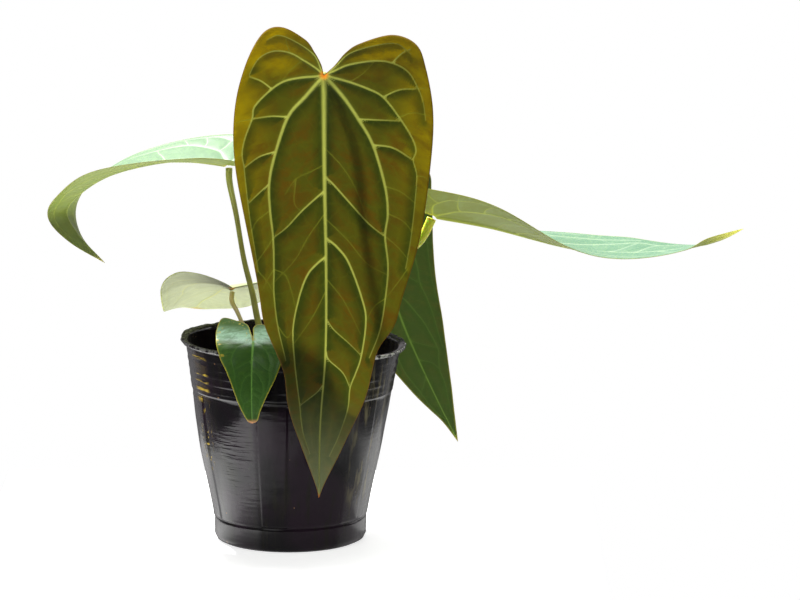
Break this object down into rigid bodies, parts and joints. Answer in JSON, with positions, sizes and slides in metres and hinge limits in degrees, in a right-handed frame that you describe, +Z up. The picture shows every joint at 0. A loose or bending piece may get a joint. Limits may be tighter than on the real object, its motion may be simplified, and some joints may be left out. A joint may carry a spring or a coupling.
{
  "type": "potted plant",
  "caption": "Potted anthurium hybrid: long heart-shaped leaves hang and arch on thin stalks from a short crown in a soft, round, ribbed nursery pot.",
  "frame": {"origin": "centre of the pot's flat underside", "axes": "+Z up along the pot, +X towards the long leaf that reaches sideways, -Y towards the front, where the largest leaf hangs"},
  "size_m": [0.3718, 0.1822, 0.2802],
  "materials": {
    "pot": "gloss",
    "bark_mix": "rough",
    "crown_skin": "satin",
    "olive_stalk": "satin",
    "bright_stalk": "satin",
    "tan_stalk": "satin",
    "front_blade": "velvet",
    "left_blade": "satin",
    "right_blade": "satin",
    "back_blade": "satin",
    "pale_blade": "satin",
    "small_blade": "gloss"
  },
  "bodies": {
    "root": {"pot": "pot", "growing_medium": "bark_mix", "crown": "crown_skin", "leaf_front_blade": "front_blade", "leaf_front_petiole": "olive_stalk", "leaf_left_blade": "left_blade", "leaf_left_petiole": "olive_stalk", "leaf_right_blade": "right_blade", "leaf_right_petiole": "bright_stalk", "leaf_back_blade": "back_blade", "leaf_back_petiole": "olive_stalk", "leaf_pale_blade": "pale_blade", "leaf_pale_petiole": "tan_stalk", "leaf_small_blade": "small_blade", "leaf_small_petiole": "olive_stalk"}
  },
  "joints": []
}
